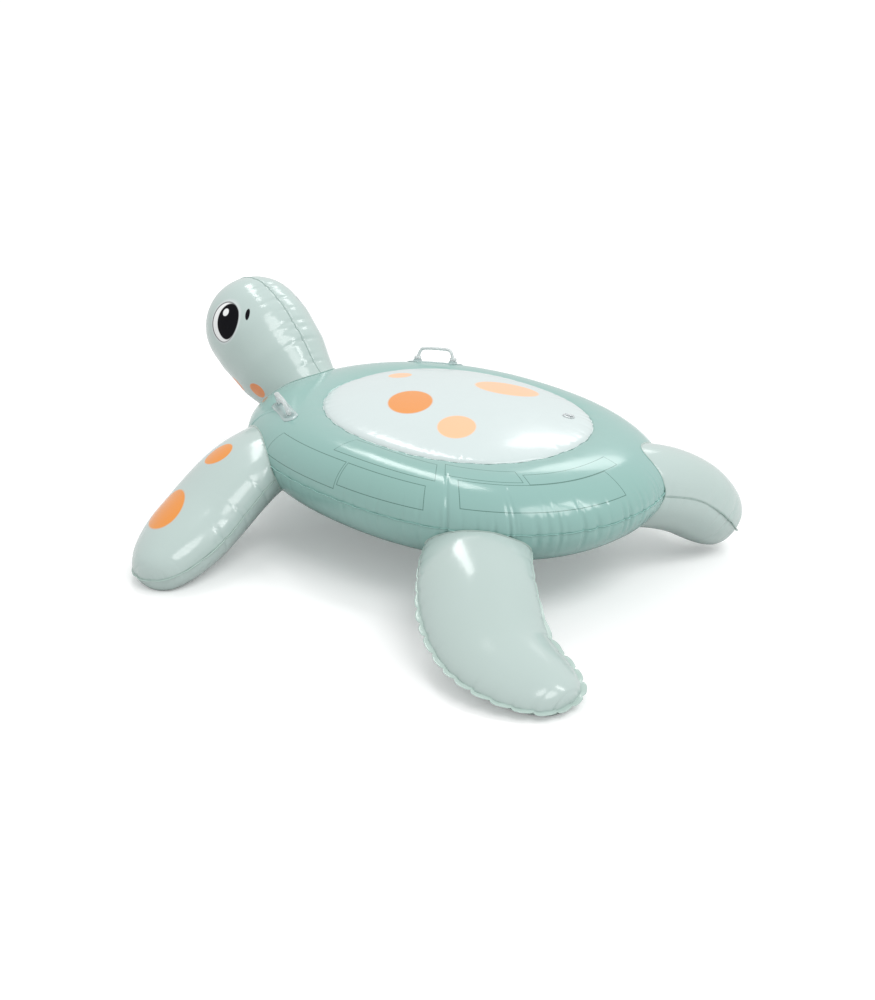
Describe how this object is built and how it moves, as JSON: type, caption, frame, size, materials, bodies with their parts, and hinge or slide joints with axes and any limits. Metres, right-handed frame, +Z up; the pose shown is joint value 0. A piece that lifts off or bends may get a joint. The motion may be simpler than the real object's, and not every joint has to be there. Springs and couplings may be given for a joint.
{
  "type": "inflatable ride-on turtle pool float",
  "caption": "Inflatable ride-on pool float in the shape of a sea turtle, with an oval ring shell, domed seat, four flippers, raised head and two folding grab handles.",
  "frame": {"origin": "on the floor under the middle of the box round the whole float", "axes": "+X to the turtle's left, -Y towards its head, +Z up"},
  "size_m": [1.5372, 1.7418, 0.5261],
  "materials": {
    "ring_vinyl": "glossy printed vinyl film, teal mint",
    "dome_vinyl": "glossy vinyl film, pale mint with soft orange spots",
    "flipper_vinyl": "glossy vinyl film, pale mint grey",
    "head_vinyl": "glossy vinyl film, pale mint grey with printed eyes",
    "pad_vinyl": "clear glossy vinyl",
    "handle_vinyl": "clear soft moulded vinyl",
    "valve_vinyl": "clear soft moulded vinyl"
  },
  "bodies": {
    "root": {"chamber_wall": "ring_vinyl", "front_left_flipper_lower_sheet": "flipper_vinyl", "front_left_flipper_upper_sheet": "flipper_vinyl", "front_right_flipper_lower_sheet": "flipper_vinyl", "front_right_flipper_upper_sheet": "flipper_vinyl", "handle_pad_left": "pad_vinyl", "handle_pad_right": "pad_vinyl", "head_left_panel": "head_vinyl", "head_right_panel": "head_vinyl", "rear_left_flipper_lower_sheet": "flipper_vinyl", "rear_left_flipper_upper_sheet": "flipper_vinyl", "rear_right_flipper_lower_sheet": "flipper_vinyl", "rear_right_flipper_upper_sheet": "flipper_vinyl", "seat_dome_sheet": "dome_vinyl", "seat_valve_base": "valve_vinyl", "shell_bottom_sheet": "ring_vinyl", "shell_top_sheet": "ring_vinyl", "shell_valve_base": "valve_vinyl"},
    "handle_left": {"handle_left": "handle_vinyl"},
    "handle_right": {"handle_right": "handle_vinyl"},
    "seat_valve_stopper": {"seat_valve_stopper": "valve_vinyl"},
    "shell_valve_stopper": {"shell_valve_stopper": "valve_vinyl"}
  },
  "joints": [
    {"name": "handle_left_fold", "type": "hinge", "parent": "root", "child": "handle_left", "pos_m": [0.27178, -0.30067, 0.33562], "axis": [0.4355, 0.8991, 0.0446], "range_deg": [-70, 70]},
    {"name": "handle_right_fold", "type": "hinge", "parent": "root", "child": "handle_right", "pos_m": [-0.26892, -0.30067, 0.33562], "axis": [-0.4355, 0.8991, 0.0446], "range_deg": [-70, 70]},
    {"name": "seat_valve_open", "type": "hinge", "parent": "root", "child": "seat_valve_stopper", "pos_m": [-0.14888, 0.30429, 0.36043], "axis": [-0.9937, 0, -0.1118], "range_deg": [0, 150]},
    {"name": "shell_valve_open", "type": "hinge", "parent": "root", "child": "shell_valve_stopper", "pos_m": [0.00143, 0.34189, 0.1109], "axis": [1, 0, 0], "range_deg": [0, 150]}
  ]
}
